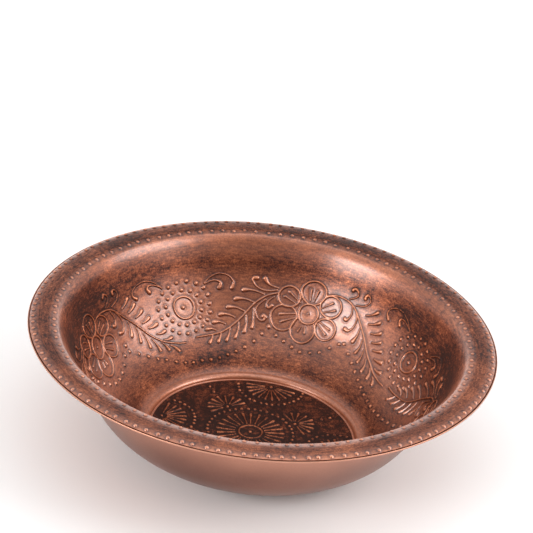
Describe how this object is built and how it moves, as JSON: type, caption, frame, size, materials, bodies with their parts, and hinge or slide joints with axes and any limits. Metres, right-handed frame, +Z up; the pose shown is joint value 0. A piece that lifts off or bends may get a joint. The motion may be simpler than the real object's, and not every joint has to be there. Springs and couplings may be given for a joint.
{
  "type": "embossed copper basin",
  "caption": "Round double-walled copper basin with a wide, beaded, gently domed rim, an embossed floral inside and a plain flat-footed shell.",
  "frame": {"origin": "centre of the flat foot, on the surface the basin stands on", "axes": "+Z up along the basin's turning axis; X and Y are free, because both sheets are bodies of revolution"},
  "size_m": [0.4, 0.4, 0.1071],
  "materials": {
    "aged_copper": "aged, mottled patina, worn bright on the relief",
    "satin_copper": "satin"
  },
  "bodies": {
    "root": {"inner_pan": "aged_copper", "outer_shell": "satin_copper"}
  },
  "joints": []
}
